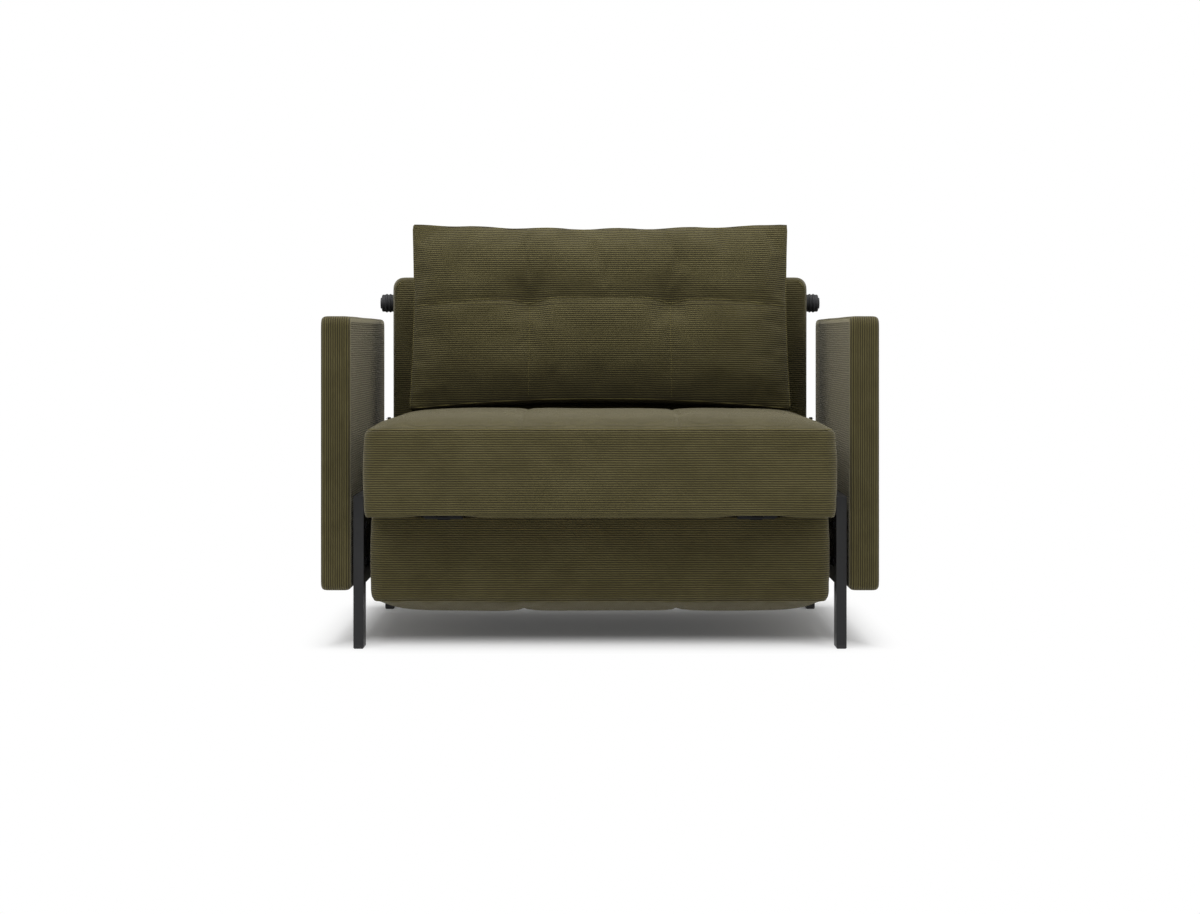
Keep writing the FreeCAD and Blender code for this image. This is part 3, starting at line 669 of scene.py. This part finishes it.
def section_seam(name, piece, low, high, placed, nose):
    """The fine corded edge where a section's top meets its border."""
    radius = shape().corner_radius
    inset, lifted, thickness, nose_gap = 5 * MM, 0.4 * MM, 1.3 * MM, 0.5 * MM
    straight_x = (high[0] - low[0]) / 2 - inset - radius
    straight_y = (high[1] - low[1]) / 2 - inset - radius
    middle_y = (low[1] + high[1]) / 2
    path = []
    for quarter, (side_x, side_y) in enumerate(((1, -1), (1, 1), (-1, 1), (-1, -1))):
        for step in range(7):
            turn = (quarter - 1 + step / 6) * math.pi / 2
            path.append((side_x * straight_x + radius * math.cos(turn),
                         middle_y + side_y * straight_y + radius * math.sin(turn),
                         high[2] + lifted))
    if nose is not None:
        least = nose_limit(high[2], nose) + nose_gap
        path = [(x, max(y, least), z) for x, y, z in path]
    return corded_edge(name, path, thickness, skin_of(piece), placed)


def turned_about(y, z, angle):
    """A turn about the X direction through (y, z). A positive angle raises what lies behind."""
    there = Matrix.Translation((0, y, z))
    return there @ Matrix.Rotation(angle, 4, "X") @ there.inverted()


def joint_place(name):
    """Where a hinge is, as (y, z)."""
    for joint in frame["record"]["behaviour"]["joints"]:
        if joint["name"] == name:
            return joint["pos_m"][1], joint["pos_m"][2]
    raise RuntimeError(f"the frame has no joint named {name}")


def wear(piece, body, *nodes, fill=0.85):
    """A cover takes its place on its body and stands for the nodes in it."""
    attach(piece, body)
    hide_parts(*nodes)


def trim(piece, body):
    """A cord, which stands for no node."""
    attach(piece, body)


def sewn_section(body, low, high, give, placed=None, nose=None, **form):
    """A section's cover over its mattress and skirt, swollen by up to give, and its corded edge."""
    past_cad = 1.5 * MM
    piece, held = section(f"{body}_cover", low, high, nose=nose, placed=placed, **form)
    inflate(piece, held, give, 2.0, wide=high[0] + past_cad)
    smooth_once(piece)
    wear(piece, body, f"{body}_mattress", f"{body}_skirt")
    trim(section_seam(f"{body}_seam", piece, low, high, placed, nose), body)


# Operators, one for each piece or group of like pieces

class CHAIRBED_OT_frame_finishes(bpy.types.Operator):
    """Give the steel, plastic, rubber and wooden pieces of the frame their finishes"""

    bl_idname = "chair_bed.frame_finishes"
    bl_label = "Frame finishes"

    def execute(self, context):
        for part in frame["record"]["subparts"]:
            material = finish_of(SLOT_FINISHES[part["material_slot"]])
            for place in frame["nodes"][part["node"]].material_slots:
                place.material = material
        return {"FINISHED"}


class CHAIRBED_OT_seat_section(bpy.types.Operator):
    """Make the seat section's corduroy cover"""

    bl_idname = "chair_bed.seat_section"
    bl_label = "Seat section"

    def execute(self, context):
        low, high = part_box("seat_mattress")
        under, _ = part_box("seat_skirt")
        low = (low.x, low.y, min(under.z, low.z))
        high = (high.x, high.y, high.z - shape().crown)
        sewn_section("seat", low, high, 1.5 * MM, seed=1.0, swell=(5.0, 0.0))
        return {"FINISHED"}


class CHAIRBED_OT_foot_section(bpy.types.Operator):
    """Make the foot section's cover, which lies folded face down under the seat"""

    bl_idname = "chair_bed.foot_section"
    bl_label = "Foot section"

    def execute(self, context):
        y, z = joint_place("foot_unfold")
        low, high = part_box("foot_mattress")
        _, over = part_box("foot_skirt")
        opened_low = (low.x, 2 * y - high.y, 2 * z - over.z)
        opened_high = (high.x, 2 * y - low.y, 2 * z - low.z - shape().crown)
        sewn_section("foot", opened_low, opened_high, 3.5 * MM, turned_about(y, z, math.pi),
                     seed=2.0, swell=(0.0, 3.0))
        return {"FINISHED"}


class CHAIRBED_OT_back_section(bpy.types.Operator):
    """Make the back section's cover, its lower end rounded about the pivot"""

    bl_idname = "chair_bed.back_section"
    bl_label = "Back section"

    nose_radius = 90 * MM

    def execute(self, context):
        y, z = joint_place("back_recline")
        lift = turned_about(y, z, math.pi / 2 - shape().back_recline)
        flat, skirt = (
            [lift.inverted() @ v.co for v in frame["nodes"][node].data.vertices]
            for node in ("back_mattress", "back_skirt"))
        low = (min(p.x for p in flat), min(p.y for p in flat), min(p.z for p in skirt))
        top = max(p.z for p in flat) - shape().crown
        high = (max(p.x for p in flat), max(p.y for p in flat), top)
        sewn_section("back", low, high, 3.5 * MM, lift, (y, z, self.nose_radius), seed=3.0,
                     swell=(0.0, 6.0), ends=(0.0, 8.0), taper=0.6, drop=0.0)
        return {"FINISHED"}


class CHAIRBED_OT_arms(bpy.types.Operator):
    """Make the two slab arms"""

    bl_idname = "chair_bed.arms"
    bl_label = "Arms"

    pitch = 12 * MM
    slack = 0.5 * MM
    edge = 10 * MM
    corner = 14 * MM
    face_fall = 1.2 * MM
    face_ripple = 1.2 * MM
    fullness = 0.9 * MM
    # How far in from each face the rows of points across an arm lie, in millimetres.
    rows = (0.0, 1.0, 3.0, 6.0, 11.0, 20.0)

    def execute(self, context):
        for side, out in (("right", 1), ("left", -1)):
            node = f"arm_pad_{side}"
            piece = self.slab(f"arm_cover_{side}", *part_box(node), out)
            smooth_once(piece)
            wear(piece, "base", node, fill=0.95)
        return {"FINISHED"}

    def slab(self, name, low, high, out):
        """An arm with soft edges. out is 1 where its outer face looks along X, and otherwise -1."""
        middle = (low + high) / 2
        half = (high - low) / 2 - Vector((0.0, self.slack, self.slack))
        ends = [half.x - inward * MM for inward in self.rows]
        xs = sorted([-x for x in ends] + [0.0] + ends)
        ys = steps(-half.y, half.y, self.pitch)
        zs = steps(-half.z, half.z, self.pitch)
        keys, quads, sides = lattice(xs, ys, zs)
        points = []
        for i, j, k in keys:
            x, y, z = xs[i], ys[j], zs[k]
            inward = min((half.x - abs(x)) / self.edge, 1.0)
            draw = self.edge * (1 - math.sqrt(max(0.0, 1 - (1 - inward) ** 2)))
            edge_y, edge_z = half.y - abs(y), half.z - abs(z)
            drawn_y, drawn_z = half.y - draw, half.z - draw
            y, z = rounded(y * drawn_y / half.y, z * drawn_z / half.z, drawn_y, drawn_z,
                           self.corner - 0.4 * draw)
            if i in (0, len(xs) - 1):
                fall = 2 - rise(edge_y, 20 * MM) - rise(edge_z, 20 * MM)
                x = math.copysign(abs(x) - self.face_fall * min(1.0, fall), x)
                if x * out > 0:
                    x -= out * ripple((0, y, z), 0.16, self.face_ripple, 5.0)
            else:
                full = self.fullness * (1 + ripple((x, y, z), 0.2, 0.5, 6.0))
                y += math.copysign(full, y) if edge_y < 1 * MM else 0.0
                z += math.copysign(full, z) if edge_z < 1 * MM else 0.0
            points.append((x + middle.x, y + middle.y, z + middle.z))
        return make_piece(name, points, quads, sides, ARM_RIBS)


class CHAIRBED_OT_loose_cushion(bpy.types.Operator):
    """Make the loose back cushion with its curved seam, two tufts and two upright seams"""

    bl_idname = "chair_bed.loose_cushion"
    bl_label = "Loose cushion"

    width = 0.80
    height = 0.402
    border = 0.070
    crown = 0.046
    pitch = 8.5 * MM
    border_pitch = 12 * MM
    # Where the middle of its lower edge stands, as (x, y, z).
    foot = (0.0, 0.087, 0.4543)
    # The curved seam: its height at the middle, and how far it falls at the ends and the tufts.
    seam_middle = 0.243
    seam_row = 0.238
    seam_fall = 22 * MM
    seam_dip = 9 * MM
    swell = 7 * MM

    def from_tufts(self, x):
        """How far a spot is off the upright line through the nearer tuft."""
        return abs(x) - self.tuft_place()

    def tuft_place(self):
        """From the middle to a tuft, to the nearest micrometre."""
        return round(shape().tuft_spacing / 2, 6)

    def seam_height(self, x):
        """The curved seam across the face: lowest at the ends, with a dip at each tuft."""
        ends = -self.seam_fall * (abs(x) / (self.width / 2)) ** 2.2
        dips = -self.seam_dip * bell(self.from_tufts(x), 32 * MM)
        return self.seam_middle + ends + dips

    def face(self, x, z):
        """How far the face stands out from its border, and how firmly that spot is sewn."""
        seam = self.seam_height(x)
        edge_x, edge_z = self.width / 2 - abs(x), min(z, self.height - z)
        full = rise(edge_x, 62 * MM) * rise(edge_z, 48 * MM)
        out = self.crown * full
        tuft = math.hypot(self.from_tufts(x), z - seam)
        near_tuft = 0.62 * bell(tuft, 34 * MM) + 0.38 * bell(tuft, 90 * MM)
        out -= shape().tuft_depth * full * near_tuft
        line = abs(z - seam)
        out -= full * (2.2 * MM * bell(line, 5 * MM) + 2.2 * MM * bell(line, 26 * MM))
        sewn = max(0.75 * bell(line, 7 * MM), bell(tuft, 12 * MM))
        if z < seam:
            upright = abs(self.from_tufts(x))
            out -= full * (1.6 * MM * bell(upright, 5 * MM) + 1.6 * MM * bell(upright, 24 * MM))
            sewn = max(sewn, 0.75 * bell(upright, 7 * MM))
        return out, sewn

    def settled(self, x, y, z):
        """A point of the flat pattern where the cushion's own weight takes it."""
        across, up = x / (self.width / 2), z / self.height
        middle = 1 - across ** 2
        sag = -6 * MM * up - 10 * MM * middle * up + 22 * MM * middle * (1 - up) ** 3
        sag += 1.6 * MM * math.sin(across * 17.0) * up ** 4 * (1 - across ** 4)
        draw = 1.004 - 0.014 * math.sin(math.pi * up) - 0.008 * up
        return x * draw, y, z + sag

    def execute(self, context):
        tuft = self.tuft_place()
        xs = steps(-self.width / 2, self.width / 2, self.pitch, (-tuft, tuft))
        ys = steps(-self.border / 2, self.border / 2, self.border_pitch)
        zs = steps(0.0, self.height, self.pitch, (self.seam_row,))
        keys, quads, sides = lattice(xs, ys, zs)
        points, held = [], []
        for i, j, k in keys:
            x, y, z = xs[i], ys[j], zs[k]
            on_face = j in (0, len(ys) - 1)
            fixed = 0.0
            if on_face:
                out, fixed = self.face(x, z)
                side = -1 if j == 0 else 1
                out += ripple((x, side, z), 0.085, 2.6 * MM * min(1.0, out / (20 * MM)), 8.0)
                y += side * out
            if i in (0, len(xs) - 1) or k in (0, len(zs) - 1):
                fixed = 1.0 if on_face else 0.4
            points.append(self.settled(x, y, z))
            held.append(fixed)
        lean = Matrix.Translation(self.foot) @ Matrix.Rotation(-shape().cushion_lean, 4, "X")
        piece = make_piece(
            "loose_cushion_cover", points, quads, sides, CUSHION_RIBS, lean, held)
        inflate(piece, held, self.swell, 2.5)
        smooth_once(piece)
        wear(piece, "cushion", "loose_cushion", fill=0.7)
        self.cords(skin_of(piece), lean)
        return {"FINISHED"}

    def cords(self, skin, lean):
        """The cords round both faces, and along the curved and the upright seam lines on them."""
        border_width, line_width = 1.4 * MM, 1.1 * MM
        across = [self.width / 2 * n / 60 for n in range(-59, 60)]
        lines = [("curved", [(x, self.seam_height(x)) for x in across])]
        for place in (-self.tuft_place(), self.tuft_place()):
            top = self.seam_height(place)
            lines.append(("upright", [(place, top * n / 30) for n in range(1, 30)]))
        for label, side in (("front", -1), ("rear", 1)):
            rim = [self.edge_point(n / 160) for n in range(160)]
            path = [self.settled(x, side * self.border / 2, z) for x, z in rim]
            seam = corded_edge(f"cushion_seam_{label}", path, border_width, skin, lean)
            trim(seam, "cushion")
            for number, (kind, spots) in enumerate(lines):
                path = [self.settled(x, side * (self.border / 2 + self.face(x, z)[0]), z)
                        for x, z in spots]
                seam = corded_edge(f"cushion_{kind}_seam_{label}_{number}", path, line_width,
                                   skin, lean, closed=False)
                trim(seam, "cushion")

    def edge_point(self, share):
        """A point on the way round the cushion's edge, as (x, z)."""
        way = share * 2 * (self.width + self.height)
        if way < self.width:
            return -self.width / 2 + way, 0.0
        way -= self.width
        if way < self.height:
            return self.width / 2, way
        way -= self.height
        if way < self.width:
            return self.width / 2 - way, self.height
        return -self.width / 2, self.height - (way - self.width)


class CHAIRBED_OT_stage(bpy.types.Operator):
    """Set the floor, the lights and the camera"""

    bl_idname = "chair_bed.stage"
    bl_label = "Stage"

    white = (1.0, 1.0, 1.0, 1.0)
    floor_radius = 14.0
    floor_sides = 96
    # Where the shadow starts to fade before the object, and over how far it fades on each side.
    fade_start = -0.06
    fade_beside, fade_before, fade_behind = 0.15, 0.36, 0.30
    # The least share of white glow over the whole floor, which paints even its deepest shadow
    # paler.
    least_white = 0.055
    # Each lamp's place, what it looks at, its width and its share of the key light's power.
    lamps = {
        "key_lamp": ((-1.6, -3.4, 3.2), (0.0, 0.0, 0.35), 2.6, 1.0),
        "fill_lamp": ((2.4, -3.0, 1.8), (0.0, 0.0, 0.4), 2.4, 0.42),
        "top_lamp": ((0.0, -0.5, 3.6), (0.0, 0.1, 0.3), 2.6, 1.5),
    }
    film_width = 36.0
    film_shift = -0.0975

    def execute(self, context):
        self.floor()
        self.room()
        for name, (place, target, width, share) in self.lamps.items():
            self.lamp(name, place, target, width, share * setup().key_power)
        self.camera()
        context.scene.view_settings.view_transform = "Standard"
        return {"FINISHED"}

    def floor(self):
        """A pale floor that shows the object's shadow near it and is white further out."""
        turns = [n * math.tau / self.floor_sides for n in range(self.floor_sides)]
        rim = [(self.floor_radius * math.cos(turn), self.floor_radius * math.sin(turn), 0.0)
               for turn in turns]
        mesh = bpy.data.meshes.new("floor")
        mesh.from_pydata(rim, [], [list(range(self.floor_sides))])
        paint = Finish("pale_floor", Base_Color=(0.94, 0.94, 0.94, 1.0), Roughness=1.0,
                       Specular_IOR_Level=0.0)
        x, y = (paint.node("ShaderNodeSeparateXYZ", {}, {0: paint.place()}, axis)
                for axis in ("X", "Y"))
        reach = setup().shadow_reach
        beside = (x.absolute() - reach) / self.fade_beside
        before = (self.fade_start - y) / self.fade_before
        behind = (y - reach) / self.fade_behind
        fade = beside.larger(before).larger(behind).clamp()
        fade = fade * fade * (3.0 - fade * 2.0) * (1 - self.least_white) + self.least_white
        glow = paint.tree.nodes.new("ShaderNodeEmission")
        glow.inputs["Color"].default_value = self.white
        share = fade * Value(paint, self.seen(paint.tree))
        self.either(paint.tree, share.socket, paint.shader, glow, "Material Output")
        mesh.materials.append(paint.material)
        new_object("floor", mesh)

    def seen(self, tree):
        """1 for a ray that the camera, a reflection or a clear piece looks along."""
        path = tree.nodes.new("ShaderNodeLightPath")
        value = path.outputs["Is Camera Ray"]
        for other in ("Is Glossy Ray", "Is Transmission Ray"):
            larger = tree.nodes.new("ShaderNodeMath")
            larger.operation = "MAXIMUM"
            tree.links.new(value, larger.inputs[0])
            tree.links.new(path.outputs[other], larger.inputs[1])
            value = larger.outputs[0]
        return value

    def either(self, tree, share, first, second, out):
        """Ends a tree in two mixed shaders: the second counts as much as the share says."""
        both = tree.nodes.new("ShaderNodeMixShader")
        for number, socket in enumerate((share, first.outputs[0], second.outputs[0])):
            tree.links.new(socket, both.inputs[number])
        tree.links.new(both.outputs[0], tree.nodes[out].inputs["Surface"])

    def room(self):
        """Light from all round, which the camera sees as plain white."""
        world = bpy.data.worlds.new("pale_room")
        bpy.context.scene.world = world
        world.use_nodes = True
        tree = world.node_tree
        tree.nodes.clear()
        tree.nodes.new("ShaderNodeOutputWorld").name = "World Output"
        skies = []
        for strength in (setup().sky, 1.0):
            sky = tree.nodes.new("ShaderNodeBackground")
            sky.inputs["Color"].default_value = self.white
            sky.inputs["Strength"].default_value = strength
            skies.append(sky)
        self.either(tree, self.seen(tree), *skies, "World Output")

    def lamp(self, name, place, target, width, power):
        lamp = bpy.data.lights.new(name, "AREA")
        lamp.shape = "DISK"
        lamp.size = width
        lamp.energy = power
        holder = new_object(name, lamp)
        holder.location = place
        holder.rotation_euler = (Vector(target) - Vector(place)).to_track_quat("-Z", "Y").to_euler()

    def camera(self):
        stand = setup()
        camera = bpy.data.cameras.new("camera")
        camera.sensor_width = self.film_width
        camera.lens = stand.lens
        camera.shift_y = self.film_shift
        holder = new_object("camera", camera)
        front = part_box("seat_mattress")[0].y
        holder.location = (0.0, front - stand.camera_distance, stand.camera_height)
        holder.rotation_euler = (math.pi / 2, 0.0, 0.0)
        bpy.context.scene.camera = holder


class CHAIRBED_PT_panel(bpy.types.Panel):
    """The chair bed's steps and sizes"""

    bl_idname = "CHAIRBED_PT_panel"
    bl_label = "Chair bed"
    bl_space_type = "VIEW_3D"
    bl_region_type = "UI"
    bl_category = "Chair bed"

    def draw(self, context):
        for operator in STEPS:
            self.layout.operator(operator.bl_idname)
        for group in (cloth(), shape(), setup()):
            for name in group.__annotations__:
                self.layout.prop(group, name)


STEPS = (
    CHAIRBED_OT_stage,
    CHAIRBED_OT_frame_finishes,
    CHAIRBED_OT_seat_section,
    CHAIRBED_OT_foot_section,
    CHAIRBED_OT_back_section,
    CHAIRBED_OT_arms,
    CHAIRBED_OT_loose_cushion,
)
GROUPS = (ChairBedCloth, ChairBedShape, ChairBedStage)


def register():
    for group in GROUPS:
        bpy.utils.register_class(group)
    bpy.types.Scene.chair_bed_cloth = bpy.props.PointerProperty(type=ChairBedCloth)
    bpy.types.Scene.chair_bed_shape = bpy.props.PointerProperty(type=ChairBedShape)
    bpy.types.Scene.chair_bed_stage = bpy.props.PointerProperty(type=ChairBedStage)
    for operator in STEPS:
        bpy.utils.register_class(operator)
    bpy.utils.register_class(CHAIRBED_PT_panel)


def unregister():
    bpy.utils.unregister_class(CHAIRBED_PT_panel)
    for operator in reversed(STEPS):
        bpy.utils.unregister_class(operator)
    del bpy.types.Scene.chair_bed_stage
    del bpy.types.Scene.chair_bed_shape
    del bpy.types.Scene.chair_bed_cloth
    for group in reversed(GROUPS):
        bpy.utils.unregister_class(group)


def main():
    register()
    for operator in STEPS:
        group, name = operator.bl_idname.split(".")
        getattr(getattr(bpy.ops, group), name)()


if __name__ == "__main__":
    main()
